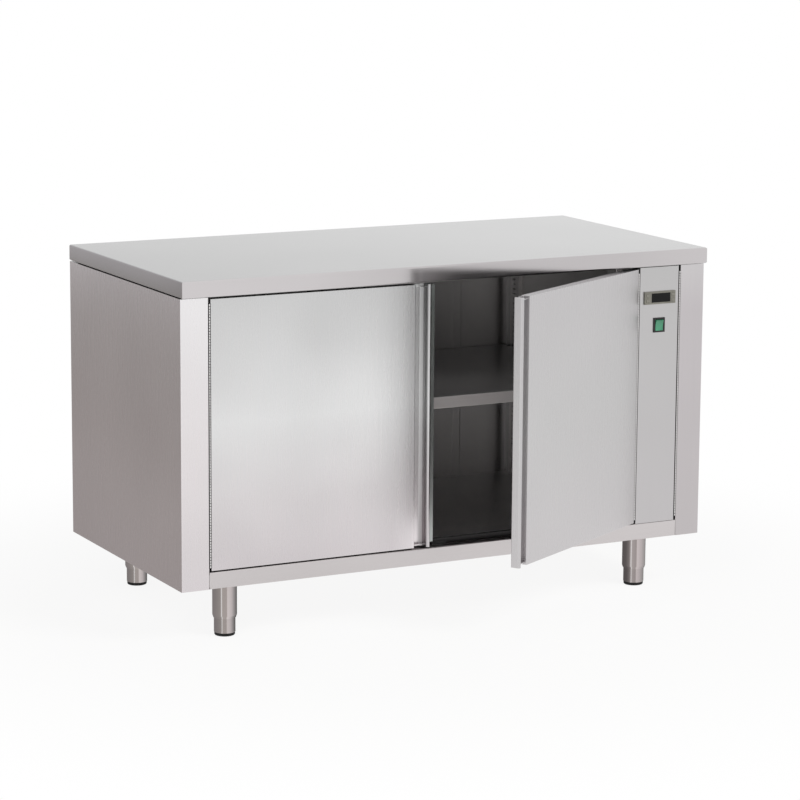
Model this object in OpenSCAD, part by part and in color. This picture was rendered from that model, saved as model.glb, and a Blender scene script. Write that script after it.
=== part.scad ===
// Plate warmer cabinet: a free-standing stainless steel cupboard with two hinged
// doors, a lift-out shelf, a narrow service panel with the controls and a fan
// heater behind that panel. Millimetres, +Z up, with the doors facing -Y. The origin
// is on the floor, under the middle of the space from the back to the open door.

/* [Worktop] */
// Width of the worktop
top_w = 1400; // [1300:10:1600]
// Depth of the worktop, front to back
top_d = 700; // [650:10:800]
// Height of the worktop's edge
top_t = 39; // [30:1:50]
// Sheet thickness of the worktop
top_sheet = 1.5; // [1:0.1:2]
// Radius of the worktop's folded edges
top_r = 4; // [2:0.5:6]
// Width of the return fold under the worktop's edge
top_return = 15; // [10:1:20]
// How far the worktop stands in front of the doors
overhang = 12; // [6:1:20]

/* [Body] */
// Height of the body under the worktop
body_h = 680; // [600:1:720]
// Sheet thickness of the body
sheet = 1.2; // [1:0.1:1.5]
// Inner radius of the body's bends
bend_r = 1.3; // [1:0.1:2]
// Dark gap between the body and the worktop's edge
top_gap = 2; // [1:0.5:4]
// Width of the left stile beside the door
stile_left_w = 69.75; // [50:0.25:90]
// Width of the right stile beside the service panel
stile_right_w = 67.25; // [50:0.25:90]
// Depth of each stile's inward fold
stile_fold = 40; // [36:1:60]
// Height of the rail under the doors
rail_h = 40; // [30:1:60]
// How far the rail's top fold reaches behind the chamber's front edge
rail_land = 2; // [1.5:0.5:6]
// Width of the flanges at the back of the side panels
back_flange = 20; // [15:1:30]
// Width of the flanges on top of the side panels
side_top_flange = 32; // [26:1:40]
// Height of the flange at the back of the base
base_flange = 25; // [15:1:40]

/* [Chamber] */
// Width of the jamb that hides the left uprights
left_jamb_w = 11.5; // [11:0.5:16]
// Gap between the back panel and the back liner
back_cavity = 43; // [30:1:60]
// Depth at which the chamber's front edges start
chamber_front = 28.5; // [28:0.1:32]
// Height of the chamber floor above the body's bottom
floor_rise = 54.5; // [46:0.5:70]
// Height of the space above the chamber's ceiling
ceiling_drop = 3; // [2:0.5:6]
// Width of the jamb between the chamber and the service panel's compartment
jamb_w = 9.2; // [6:0.1:16]
// Depth of the jamb's fold that the hinge is fixed to
jamb_fold = 26; // [15:1:40]

/* [Shelf] */
// Height of the shelf's top above the chamber floor
shelf_rise = 341; // [200:12.5:450]
// Depth of the shelf
shelf_d = 598; // [400:1:600]
// Height of the shelf's folded edge
shelf_edge = 28.5; // [20:0.5:40]
// Width of the return fold under the shelf's edge
shelf_return = 15; // [10:1:25]
// Side clearance between the shelf and the uprights
shelf_gap = 2; // [1:0.5:5]
// Width of a slotted upright
upright_w = 44; // [30:1:60]
// Depth of a slotted upright
upright_d = 10; // [6:1:15]
// Distance of the front uprights from the chamber's front edge
upright_front = 72; // [40:1:150]
// Distance of the rear uprights from the back liner
upright_back = 56; // [40:1:150]
// Distance between two slots
slot_pitch = 12.5; // [10:0.5:25]
// Width of a slot
slot_w = 14; // [8:1:20]
// Height of a slot
slot_h = 4; // [3:0.5:6]
// Width of a shelf clip
clip_w = 12; // [8:1:16]
// Length of a shelf clip's tab
clip_tab = 13; // [8:1:20]

/* [Doors] */
// Gap under the doors
door_gap_bottom = 3.5; // [2:0.5:6]
// Gap between the doors and the worktop's underside
door_gap_top = 6; // [4:0.5:10]
// Gap between the two closed doors
door_gap_middle = 3.5; // [2.5:0.5:6]
// Thickness of the doors
door_t = 25; // [20:0.5:26]
// Width of the flanges at the back of a door's skin
door_flange = 12; // [8:1:20]
// Angle at which the right door stands open
right_door_open = 30; // [0:1:100]
// Width of the recessed finger channel
channel_w = 30; // [22:1:45]
// Depth of the finger channel behind the door's face
channel_d = 17.4; // [14:0.1:18]
// Radius of the channel's rounded inner corner
cove_r = 12; // [4:0.5:13]
// Width of the handle's lip
lip_w = 10.7; // [8:0.1:16]
// How far the lip's round nose stands in front of the door's face
nose_proud = 4.6; // [0:0.1:8]
// Distance of the channel's end plates from the door's ends
end_plate_inset = 5.5; // [2:0.5:10]
// Distance of the channel's end plates behind the door's face
end_plate_back = 5; // [2:0.5:12]
// Width of the closing strip behind the doors
strip_w = 85.5; // [80:0.5:96]
// How far the closing strip lies on the left door's back
strip_lap = 24; // [16:1:40]
// Thickness of the closing strip
strip_t = 1.5; // [1:0.1:1.8]
// Distance of the closing strip from the door's ends
strip_inset = 5; // [2:1:15]

/* [Hinges] */
// Half of the gap that a hinge fills
hinge_half_gap = 2.5; // [2.4:0.05:3]
// Outer radius of the hinge knuckles
knuckle_r = 2.3; // [2:0.05:2.35]
// Radius of the hinge pins
hinge_pin_r = 1.05; // [0.8:0.05:1.2]
// Radial clearance of a hinge pin
pin_clear = 0.05; // [0.02:0.01:0.09]
// Thickness of the hinge leaves
leaf_t = 0.9; // [0.6:0.1:1.1]
// Depth of the leaves on the cabinet
leaf_frame_d = 34; // [20:1:36]
// Depth of the leaves on the doors
leaf_door_d = 20; // [12:1:21]
// Height of one knuckle
knuckle_h = 6.35; // [5:0.05:25]
// Height left bare above and below a hinge
hinge_bare = 6; // [5:1:40]
// Distance of the hinge pins behind the door faces
pivot_y = 1.5; // [1.3:0.1:2]

/* [Service panel] */
// Distance between the hinge pins of the right door and the service panel
panel_pitch = 117; // [110:1:160]
// Thickness of the service panel
panel_t = 10; // [6:0.5:10]
// Extra gap beside the service panel's free edge
panel_gap = 0.6; // [0.5:0.1:2]
// Gap above the service panel
panel_gap_top = 3; // [2:0.5:6]
// Gap under the service panel
panel_gap_bottom = 0.6; // [0.5:0.1:3]

/* [Thermostat] */
// Width of the thermostat's bezel
thermo_w = 88; // [78:1:92]
// Height of the thermostat's bezel
thermo_h = 31; // [29:1:40]
// How far the bezel stands out
thermo_proud = 4; // [2:0.5:8]
// Depth of the thermostat's case behind the panel
thermo_depth = 58; // [40:1:80]
// Distance of the thermostat's middle below the panel's top
thermo_drop = 75.5; // [40:0.5:150]
// Width of the display window
window_w = 54; // [40:1:60]
// Height of the display window
window_h = 22.5; // [16:0.5:24]
// Sideways shift of the display window
window_shift = 2.5; // [0:0.5:4]
// Width of a key
key_w = 8; // [6:0.5:9]
// Height of a key
key_h = 6; // [4:0.5:8]
// How far a key stands out of the bezel
key_proud = 0.8; // [0.5:0.1:1.5]
// Clearance round a key
key_gap = 0.3; // [0.2:0.05:0.5]

/* [Switch] */
// Width of the switch's bezel
switch_w = 32; // [24:1:36]
// Height of the switch's bezel
switch_h = 36; // [28:1:40]
// How far the switch's bezel stands out
switch_proud = 2.5; // [1.5:0.5:4]
// Depth of the switch's case behind the panel
switch_depth = 26; // [18:1:40]
// Distance of the switch's middle below the panel's top
switch_drop = 143.5; // [110:0.5:200]
// Width of the rocker
rocker_w = 21; // [16:1:24]
// Height of the rocker
rocker_h = 26; // [20:1:29]
// Clearance round the rocker
rocker_gap = 1; // [0.9:0.05:1.3]
// Tilt of the rocker, switched on
rocker_tilt = 8; // [5:1:12]

/* [Legs] */
// Height of the legs
leg_h = 132; // [120:1:160]
// Distance of a leg's middle from the cabinet's side
leg_x = 140; // [100:1:200]
// Distance of a leg's middle from the cabinet's front and back
leg_y = 75; // [60:1:120]
// Outer radius of a leg's sleeve
sleeve_r = 29; // [25:0.5:32]
// Wall of the sleeve
sleeve_wall = 1.5; // [1:0.1:2.5]
// Height of the sleeve's bottom above the floor
sleeve_rise = 43; // [40:1:70]
// Height of the sleeve's drawn-in end
sleeve_taper = 6; // [4:1:10]
// Radius of the adjustable foot
foot_r = 25.3; // [20:0.1:26]
// Running clearance of the foot in the sleeve
foot_clear = 0.08; // [0.03:0.01:0.1]
// Height of the black base of the foot
cap_h = 8; // [5:1:15]
// Side of the square plate on top of a leg
plate_w = 100; // [80:1:120]
// Thickness of that plate
plate_t = 3; // [2:0.5:4]
// Radius of the bolts that hold a leg's plate
bolt_r = 3; // [2.5:0.5:4]

/* [Fan heater] */
// Depth of the heater box, front to back
box_d = 300; // [260:1:360]
// Height of the heater box
box_h = 330; // [300:1:400]
// Width of the heater box
box_w = 84; // [70:1:100]
// Distance of the heater box behind the chamber's front
box_back = 190; // [120:1:260]
// Height of the heater box above the chamber floor
box_rise = 60; // [40:1:120]
// Radius of the fan wheel
fan_r = 72; // [60:1:80]
// Width of the fan wheel
fan_w = 36; // [25:1:45]
// Number of blades on the fan wheel
fan_blades = 24; // [12:1:36]
// Radius of the motor
motor_r = 40; // [30:1:45]
// Length of the motor
motor_l = 56; // [40:1:65]
// Radius of the motor shaft
shaft_r = 4; // [3:0.5:5]
// Radius of the heating rod
rod_r = 4.2; // [3:0.1:5]
// Distance between the legs of the heating rod
rod_pitch = 32; // [24:1:40]

/* [Hidden] */
$fn = 48;

// Overlap of a cutting tool beyond the face it cuts
cut = 1;
// Small gap between pieces that lie on each other without being fixed
rest_gap = 0.3;

// Levels above the floor
z_base = leg_h;
z_under = z_base + body_h + top_gap;
z_body = z_base + body_h;
z_top = z_under + top_t;
z_rail = z_base + rail_h;
z_door = z_rail + door_gap_bottom;
z_door_top = z_under - door_gap_top;
door_h = z_door_top - z_door;
z_floor = z_base + floor_rise;
z_ceiling = z_body - ceiling_drop;
z_panel = z_rail + panel_gap_bottom;
z_panel_top = z_under - panel_gap_top;
panel_h = z_panel_top - z_panel;
z_hinge = z_door + hinge_bare;
knuckles = floor((door_h - 2 * hinge_bare) / knuckle_h);
hinge_h = knuckles * knuckle_h;

// Plan positions from the cabinet's left side and from the stiles' face
body_d = top_d - overhang;
pivot_left = stile_left_w + hinge_half_gap;
pivot_panel = top_w - stile_right_w - hinge_half_gap;
pivot_right = pivot_panel - panel_pitch;
door_reach = (pivot_right - pivot_left - door_gap_middle) / 2;
x_liner = stile_left_w - left_jamb_w;
x_leaf = pivot_right + hinge_half_gap - leaf_t;
x_divider = x_leaf - jamb_w;
y_liner = body_d - 2 * sheet - back_cavity - sheet;
rail_fold = chamber_front + rail_land;
panel_w = panel_pitch - 2 * hinge_half_gap - panel_gap;
panel_mid = -hinge_half_gap - panel_w / 2;

// Shelf and its uprights
z_shelf = z_floor + shelf_rise;
z_clip = z_shelf - shelf_edge;
upright_h = z_ceiling - z_floor - 2;
y_upright_front = chamber_front + upright_front;
y_upright_back = y_liner - upright_back;
slots = floor((upright_h - 2 * slot_pitch) / slot_pitch);

// Fan heater
y_box = chamber_front + box_back;
z_box = z_floor + box_rise;
x_box = x_divider + sheet;
y_fan = y_box + fan_r + 18;
z_fan = z_box + box_h / 2;
fan_gap = 8;
hub_r = 3 * shaft_r;

// How far the open door's nose reaches in front of the stiles
nose_x = door_reach - lip_w / 2;
nose_y = lip_w / 2 - nose_proud - pivot_y;
nose_reach = nose_x * sin(right_door_open) - nose_y * cos(right_door_open) + lip_w / 2 - pivot_y;
front_reach = max(overhang, nose_reach);

// Moves a piece from the cabinet's own corner to the part's origin
module cabinet() { translate([-top_w / 2, (front_reach - body_d) / 2, 0]) children(); }

// Moves a mirrored or turned piece to one of the three hinge pins
module at_left_pin() { cabinet() translate([pivot_left, pivot_y, 0]) children(); }
module at_right_pin(turn = 0) {
  cabinet() translate([pivot_right, pivot_y, 0]) rotate([0, 0, turn]) mirror([1, 0, 0]) children();
}
module at_panel_pin() {
  cabinet() translate([pivot_panel, pivot_y, 0]) mirror([1, 0, 0]) children();
}

// How much of a straight run a bend takes: turn 1 is to the left, -1 to the right
function bend_use(turn, r, t) = turn > 0 ? r + t : r;

// Section of a sheet folded at right angles. It starts at the origin along +X with the
// sheet on its left side. Runs are measured between the corners of the right-hand face.
module folded(runs, turns, radii, t, i = 0, used = 0) {
  bent = i < len(turns);
  use_here = bent ? bend_use(turns[i], radii[i], t) : 0;
  straight = runs[i] - used - use_here;
  if (straight > 0.001) square([straight, t]);
  if (bent) {
    r = radii[i];
    translate([straight, 0]) {
      translate([0, turns[i] > 0 ? t + r : -r]) mirror([0, turns[i] > 0 ? 1 : 0]) intersection() {
        difference() {
          circle(r + t);
          circle(r);
        }
        square(r + t + cut);
      }
      if (turns[i] > 0)
        translate([r + t, r + t]) rotate(90) folded(runs, turns, radii, t, i + 1, use_here);
      else
        translate([r, -r]) rotate(-90) folded(runs, turns, radii, t, i + 1, use_here);
    }
  }
}

// The same radius for every bend
function all_radii(turns, r) = [for (k = turns) r];

// Stands a plan section up from z to z + h
module stand(z, h) { translate([0, 0, z]) linear_extrude(h) children(); }

// Lays a section of the Y-Z plane along X, from x for a length w
module along_x(x, w) {
  translate([x, 0, 0]) rotate([90, 0, 90]) linear_extrude(w) children();
}

// Lays a section of the X-Z plane along Y, from y for a length d
module along_y(y, d) {
  translate([0, y + d, 0]) rotate([90, 0, 0]) linear_extrude(d) children();
}

// Rectangle with round corners
module round_rect(w, h, r) {
  translate([r, 0]) square([w - 2 * r, h]);
  translate([0, r]) square([w, h - 2 * r]);
  for (x = [r, w - r], y = [r, h - r]) translate([x, y]) circle(r);
}

// Slab whose long edges are all rounded
module round_slab(w, d, h, r) {
  intersection() {
    along_x(0, w) round_rect(d, h, r);
    along_y(0, d) round_rect(w, h, r);
  }
}

// Worktop: one sheet, folded down on four sides and in again at the bottom
module worktop() {
  color("gainsboro") cabinet() translate([0, -overhang, z_under]) difference() {
    round_slab(top_w, top_d, top_t, top_r);
    translate([top_sheet, top_sheet, top_sheet])
      round_slab(top_w - 2 * top_sheet, top_d - 2 * top_sheet, top_t - 2 * top_sheet, top_r - top_sheet);
    translate([top_return, top_return, -cut])
      cube([top_w - 2 * top_return, top_d - 2 * top_return, top_sheet + 2 * cut]);
  }
}

// Welded frame of channels that stiffens the worktop and stands on the side panels
frame_w = 30;
frame_h = top_t + top_gap - top_sheet;
frame_x = top_return + 2;
frame_y = top_return + 2 - overhang;
frame_d = top_d - 2 * (top_return + 2);
cross_h = 20;
cross_bars = 5;
module top_frame() {
  frame_l = top_w - 2 * frame_x;
  turns = [1, 1];
  color("darkgray") cabinet() {
    for (y = [frame_y, frame_y + frame_d - frame_w])
      along_x(frame_x, frame_l) translate([y + frame_w, z_body]) rotate(90)
        folded([frame_h, frame_w, frame_h], turns, all_radii(turns, bend_r), sheet);
    for (i = [0:cross_bars - 1])
      along_y(frame_y + frame_w, frame_d - 2 * frame_w)
        translate([frame_x + frame_w + i * (frame_l - frame_w) / (cross_bars - 1),
                   z_body + frame_h - cross_h])
          rotate(90) folded([cross_h, frame_w, cross_h], turns, all_radii(turns, bend_r), sheet);
  }
}

// Side panel, its stile and its flanges, folded from one sheet
module side_panel(stile_w) {
  turns = [1, 1, 1];
  stand(z_base, body_h) translate([back_flange, body_d]) rotate(180)
    folded([back_flange, body_d, stile_w, stile_fold], turns, all_radii(turns, bend_r), sheet);
  translate([sheet, 2 * sheet + 2, z_body - sheet])
    cube([side_top_flange - sheet, body_d - 4 * sheet - 4, sheet]);
}
module side_panel_left() { color("silver") cabinet() side_panel(stile_left_w); }
module side_panel_right() {
  color("silver") cabinet() translate([top_w, 0, 0]) mirror([1, 0, 0]) side_panel(stile_right_w);
}

// Outer back panel, tucked inside the side panels' flanges
module back_panel() {
  color("silver") cabinet()
    translate([sheet + bend_r, body_d - 2 * sheet, z_base + sheet])
      cube([top_w - 2 * (sheet + bend_r), sheet, body_h - 2 * sheet]);
}

// Place of the cable gland in the base sheet
gland_from_side = 60;
gland_from_back = 70;
gland_x = top_w - gland_from_side;
gland_y = body_d - gland_from_back;
gland_r = 5;
gland_thread_r = 10;

// Base sheet with the rail under the doors folded up from its front edge. Its corners
// reach into the hollow stiles.
module base_pan() {
  base_d = body_d - 2 * sheet;
  turns = [1, 1, 1];
  rail_w = top_w - stile_left_w - stile_right_w;
  inset = sheet + bend_r;
  color("lightgray") cabinet() difference() {
    union() {
      along_x(stile_left_w, rail_w) translate([rail_fold, z_rail]) rotate(180)
        folded([rail_fold, rail_h, base_d, base_flange], turns, all_radii(turns, bend_r), sheet);
      for (side = [[0, stile_left_w], [top_w - stile_right_w, stile_right_w]]) {
        outer = side[0] == 0 ? sheet : 0;
        translate([side[0] + outer, stile_fold + rest_gap, z_base])
          cube([side[1] - sheet, base_d - stile_fold - rest_gap, sheet]);
        translate([side[0] + inset, inset, z_base])
          cube([side[1] - 2 * inset, stile_fold, sheet]);
      }
    }
    translate([gland_x, gland_y, z_base - cut]) cylinder(r = gland_thread_r, h = sheet + 2 * cut);
  }
}

// Left wall of the chamber, with a fold that closes the gap to the stile
module liner_left() {
  x_back = x_liner - sheet;
  color("dimgray") cabinet() stand(z_floor, z_ceiling - z_floor)
    translate([x_back, y_liner]) rotate(-90)
      folded([y_liner - stile_fold, stile_left_w - x_back], [1], [bend_r], sheet);
}

// Back wall of the chamber
module liner_back() {
  color("dimgray") cabinet() translate([x_liner - sheet, y_liner, z_floor])
    cube([x_divider - x_liner + sheet, sheet, z_ceiling - z_floor]);
}

// Right wall of the chamber: it stands on the rail, lets the heater's air through, and
// its front is folded round to the hinge of the right door
air_slots = 9;
air_slot_h = 6;
air_slot_pitch = 13;
air_in_l = 110;
air_out_l = 100;
air_out_inset = 24;
module divider_wall() {
  turns = [1, 1];
  color("dimgray") cabinet() difference() {
    stand(z_rail, z_ceiling - z_rail) translate([x_divider, y_liner + sheet]) rotate(-90)
      folded([y_liner + sheet - chamber_front, jamb_w, jamb_fold], turns,
        all_radii(turns, bend_r), sheet);
    for (k = [0:air_slots - 1]) {
      z = z_fan + (k - (air_slots - 1) / 2) * air_slot_pitch - air_slot_h / 2;
      translate([x_divider - cut, y_fan - air_in_l / 2, z])
        cube([sheet + 2 * cut, air_in_l, air_slot_h]);
      translate([x_divider - cut, y_box + box_d - air_out_inset - air_out_l, z])
        cube([sheet + 2 * cut, air_out_l, air_slot_h]);
    }
  }
}

// The floor's and ceiling's sheets start beside the left hinge, and a strip of them
// reaches behind the stile to the left wall
x_front = stile_left_w + leaf_t + rest_gap;
module behind_stile(z) {
  translate([x_liner - sheet, stile_fold + sheet + rest_gap, z])
    cube([x_front - x_liner + sheet, y_liner - stile_fold - sheet - rest_gap, sheet]);
}

// Chamber floor, folded down behind the doors onto the rail
module liner_floor() {
  color("dimgray") cabinet() {
    along_x(x_front, x_divider - x_front) translate([y_liner + sheet, z_floor]) rotate(180)
      folded([y_liner + sheet - chamber_front, z_floor - z_rail], [1], [bend_r], sheet);
    behind_stile(z_floor - sheet);
  }
}

// Chamber ceiling, lying on the walls
module liner_ceiling() {
  color("dimgray") cabinet() {
    translate([x_front, chamber_front, z_ceiling])
      cube([x_divider + sheet - x_front, y_liner + sheet - chamber_front, sheet]);
    behind_stile(z_ceiling);
  }
}

// Mineral wool slabs between the chamber and the outer walls, and over the ceiling
slab_inset = 20;
module wall_insulation() {
  slab_y = stile_fold + 4;
  slab_x = x_liner + slab_inset;
  slab_w = x_divider - slab_x - slab_inset;
  over_y = frame_y + frame_w + 1;
  z_over = z_ceiling + sheet + rest_gap;
  color("khaki") cabinet() {
    translate([sheet + rest_gap, slab_y, z_floor])
      cube([x_liner - 2 * sheet - 2 * rest_gap, y_liner - slab_y, z_ceiling - z_floor]);
    translate([slab_x, slab_y, z_base + sheet])
      cube([slab_w, y_liner - slab_y, floor_rise - 2 * sheet - rest_gap]);
    translate([slab_x, y_liner + sheet + rest_gap, z_floor])
      cube([slab_w, back_cavity - 2 * rest_gap, z_ceiling - z_floor]);
    translate([slab_x, over_y, z_over])
      cube([slab_w, frame_d - 2 * frame_w - 2, z_body + frame_h - cross_h - rest_gap - z_over]);
  }
}

// One slotted upright against the wall x = 0, with its web facing +X
module upright() {
  turns = [1, 1];
  difference() {
    linear_extrude(upright_h) translate([0, -upright_w / 2])
      folded([upright_d, upright_w, upright_d], turns, all_radii(turns, bend_r), sheet);
    for (i = [1:slots])
      translate([upright_d - sheet - cut, -slot_w / 2, i * slot_pitch + slot_pitch / 2 - slot_h / 2])
        cube([sheet + 2 * cut, slot_w, slot_h]);
  }
}
module at_uprights() {
  for (y = [y_upright_front, y_upright_back]) {
    translate([x_liner, y, 0]) children();
    translate([x_divider, y, 0]) mirror([1, 0, 0]) children();
  }
}
module shelf_uprights() {
  color("gray") cabinet() at_uprights() translate([0, 0, z_floor + 1]) upright();
}

// Clips that lie on the uprights and carry the shelf on their tabs
module shelf_clips() {
  clip_t = 1.5;
  clip_h = 22;
  color("silver") cabinet() at_uprights() translate([upright_d, -clip_w / 2, z_clip]) {
    translate([0, 0, -clip_h]) cube([clip_t, clip_w, clip_h]);
    translate([0, 0, -clip_t]) cube([clip_tab, clip_w, clip_t]);
  }
}

// Lift-out shelf: a tray folded down at the front and back, with folded ends
module shelf() {
  shelf_x = x_liner + upright_d + shelf_gap;
  shelf_w = x_divider - x_liner - 2 * (upright_d + shelf_gap);
  shelf_y = y_liner - 4 - shelf_d;
  turns = [1, 1, 1];
  color("gray") cabinet() {
    along_x(shelf_x, shelf_w) translate([shelf_y + shelf_d, z_clip]) rotate(90)
      folded([shelf_edge, shelf_d, shelf_edge, shelf_return], turns, all_radii(turns, bend_r), sheet);
    for (x = [shelf_x, shelf_x + shelf_w - sheet])
      translate([x, shelf_y + bend_r + sheet, z_clip])
        cube([sheet, shelf_d - 2 * bend_r - 2 * sheet, shelf_edge - sheet]);
  }
}

// Magnets behind the doors' lower corners, standing on the rail against the floor's fold
magnet_w = 40;
magnet_h = 7;
magnet_from_middle = 17.5;
module magnetic_catches() {
  y_magnet = door_t + 2 * rest_gap;
  x_middle = pivot_left + door_reach + door_gap_middle / 2;
  color("black") cabinet()
    for (x = [x_middle - magnet_from_middle - magnet_w, x_middle + magnet_from_middle])
      translate([x, y_magnet, z_rail]) cube([magnet_w, chamber_front - y_magnet, magnet_h]);
}

// One leaf of a piano hinge with its pin on the Z axis. The leaf lies beside the door
// edge on +X and keeps every second knuckle, counted from first.
module hinge_leaf(depth, first) {
  gap = 0.1;
  notch = knuckle_r + 0.4;
  difference() {
    stand(z_hinge, hinge_h) difference() {
      union() {
        circle(knuckle_r);
        translate([hinge_half_gap - leaf_t, 0]) square([leaf_t, depth]);
      }
      circle(hinge_pin_r + pin_clear);
    }
    for (i = [1 - first:2:knuckles - 1])
      translate([-notch, -notch, z_hinge + i * knuckle_h - gap])
        cube([2 * notch + 1, 2 * notch, knuckle_h + 2 * gap]);
  }
}
module hinge_pin() { translate([0, 0, z_hinge]) cylinder(r = hinge_pin_r, h = hinge_h); }

module hinge_left_frame_leaf() {
  color("silver") at_left_pin() mirror([1, 0, 0]) hinge_leaf(leaf_frame_d, 0);
}
module hinge_left_pin() { color("gray") at_left_pin() hinge_pin(); }
module hinge_left_door_leaf() { color("silver") at_left_pin() hinge_leaf(leaf_door_d, 1); }
module hinge_right_frame_leaf() {
  color("silver") at_right_pin() mirror([1, 0, 0])
    hinge_leaf(chamber_front - pivot_y + jamb_fold, 0);
}
module hinge_right_pin() { color("gray") at_right_pin() hinge_pin(); }
module hinge_right_door_leaf() {
  color("silver") at_right_pin(right_door_open) hinge_leaf(leaf_door_d, 1);
}
module hinge_panel_frame_leaf() {
  color("silver") at_panel_pin() mirror([1, 0, 0]) hinge_leaf(leaf_frame_d, 0);
}
module hinge_panel_pin() { color("gray") at_panel_pin() hinge_pin(); }
module hinge_panel_leaf() {
  color("silver") at_panel_pin() hinge_leaf(panel_t - pivot_y - sheet - bend_r, 1);
}

// Outer skin of a door, hinged on the Z axis and running along +X. One sheet makes the
// edge, the face, the finger channel and the round lip; the ends are closed by plates.
skin_w = door_reach - hinge_half_gap - channel_w - lip_w;
lip_back = channel_d + sheet;
lip_flange = 7;
module door_skin() {
  nose_r = lip_w / 2 - sheet;
  turns = [1, 1, 1, -1, -1, 1, 1, 1];
  radii = [bend_r, bend_r, bend_r, bend_r, cove_r, nose_r, nose_r, bend_r];
  runs = [door_flange, door_t, skin_w, channel_d, channel_w, channel_d + nose_proud, lip_w,
          lip_back + nose_proud, lip_flange];
  face = -pivot_y;
  x0 = hinge_half_gap;
  x_channel = x0 + skin_w;
  x_lip = x_channel + channel_w;
  y_nose = face - nose_proud + lip_w / 2;
  stand(z_door, door_h) translate([x0 + door_flange, face + door_t]) rotate(180)
    folded(runs, turns, radii, sheet);
  for (z = [z_door, z_door_top - sheet]) {
    translate([x0 + sheet, face + sheet, z]) cube([skin_w - 2 * sheet, door_t - 2 * sheet, sheet]);
    stand(z, sheet) {
      translate([x_lip + lip_w / 2, y_nose]) circle(nose_r);
      translate([x_lip + sheet, y_nose]) square([lip_w - 2 * sheet, face + channel_d - y_nose]);
    }
  }
  for (z = [z_door + end_plate_inset, z_door_top - end_plate_inset - sheet])
    stand(z, sheet) translate([x_channel, face]) channel_end();
}

// Plate that closes the end of the finger channel, with its rounded corner
module channel_end() {
  intersection() {
    union() {
      square([channel_w - cove_r, channel_d]);
      square([channel_w, channel_d - cove_r]);
      translate([channel_w - cove_r, channel_d - cove_r]) circle(cove_r + sheet / 2);
    }
    translate([-sheet / 2, end_plate_back])
      square([channel_w + sheet, channel_d + sheet / 2 - end_plate_back]);
  }
}

// Inner pan of a door, tucked behind the skin's flange and folded in beside the channel
module door_inner_pan() {
  x_pan = hinge_half_gap + sheet + bend_r;
  pan_fold = 14;
  stand(z_door + sheet, door_h - 2 * sheet)
    translate([hinge_half_gap + skin_w - sheet, door_t - pivot_y - sheet - pan_fold]) rotate(90)
      folded([pan_fold, hinge_half_gap + skin_w - sheet - x_pan], [1], [bend_r], sheet);
}

// Insulation board inside a door
module door_core() {
  x_core = hinge_half_gap + sheet + bend_r;
  translate([x_core, sheet - pivot_y + rest_gap, z_door + 2 * sheet])
    cube([skin_w - sheet - x_core, door_t - 3 * sheet - 2 * rest_gap, door_h - 4 * sheet]);
}

module door_left_skin() { color("gainsboro") at_left_pin() door_skin(); }
module door_left_inner_pan() { color("silver") at_left_pin() door_inner_pan(); }
module door_left_core() { color("khaki") at_left_pin() door_core(); }
module door_right_skin() { color("gainsboro") at_right_pin(right_door_open) door_skin(); }
module door_right_inner_pan() { color("silver") at_right_pin(right_door_open) door_inner_pan(); }
module door_right_core() { color("khaki") at_right_pin(right_door_open) door_core(); }

// Strip on the back of the left door that closes the gap between the doors
module door_left_closing_strip() {
  x_strip = hinge_half_gap + skin_w - strip_lap;
  color("silver") at_left_pin()
    translate([x_strip, door_t - pivot_y - sheet, z_door + strip_inset])
      cube([strip_w, strip_t, door_h - 2 * strip_inset]);
}

// Service panel with the cut-outs for the controls, hinged on the Z axis along +X
thermo_z = z_panel_top - thermo_drop;
switch_z = z_panel_top - switch_drop;
thermo_cut_w = thermo_w - 10;
thermo_cut_h = thermo_h - 3;
switch_cut_w = switch_w - 3;
switch_cut_h = switch_h - 3;
module panel_slot(w, h, z) {
  translate([-panel_mid - w / 2, -pivot_y - cut, z - h / 2]) cube([w, sheet + 2 * cut, h]);
}
module service_panel() {
  turns = [1, 1, 1, 1];
  color("silver") at_panel_pin() {
    difference() {
      stand(z_panel, panel_h) translate([hinge_half_gap + door_flange, panel_t - pivot_y])
        rotate(180) folded([door_flange, panel_t, panel_w, panel_t, door_flange], turns,
          all_radii(turns, bend_r), sheet);
      panel_slot(thermo_cut_w, thermo_cut_h, thermo_z);
      panel_slot(switch_cut_w, switch_cut_h, switch_z);
    }
    for (z = [z_panel, z_panel_top - sheet])
      translate([hinge_half_gap + sheet, sheet - pivot_y, z])
        cube([panel_w - 2 * sheet, panel_t - 2 * sheet, sheet]);
  }
}

// Moves a control to the middle of the service panel's face, seen from the front
module at_panel_face(z) {
  at_panel_pin() mirror([1, 0, 0]) translate([panel_mid, -pivot_y, z]) children();
}

// Digital thermostat: bezel and case, with a seat for the window and holes for the keys
key_x = [-thermo_w / 2 + 9, thermo_w / 2 - 7];
key_z = [-6.5, 6.5];
window_t = 2;
module thermostat_body() {
  color("darkgray") at_panel_face(thermo_z) difference() {
    union() {
      translate([-thermo_w / 2, -thermo_proud, -thermo_h / 2]) cube([thermo_w, thermo_proud, thermo_h]);
      translate([-thermo_cut_w / 2 + rest_gap, 0, -thermo_cut_h / 2 + rest_gap])
        cube([thermo_cut_w - 2 * rest_gap, thermo_depth, thermo_cut_h - 2 * rest_gap]);
    }
    translate([window_shift - window_w / 2, -thermo_proud - cut, -window_h / 2])
      cube([window_w, window_t + cut, window_h]);
    for (x = key_x, z = key_z)
      translate([x - key_w / 2 - key_gap, -thermo_proud - cut, z - key_h / 2 - key_gap])
        cube([key_w + 2 * key_gap, thermo_proud + cut + key_gap, key_h + 2 * key_gap]);
  }
}
module thermostat_window() {
  color("black") at_panel_face(thermo_z)
    translate([window_shift - window_w / 2 + 0.1, -thermo_proud + 0.3, -window_h / 2 + 0.1])
      cube([window_w - 0.2, window_t - 0.3, window_h - 0.2]);
}
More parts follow.
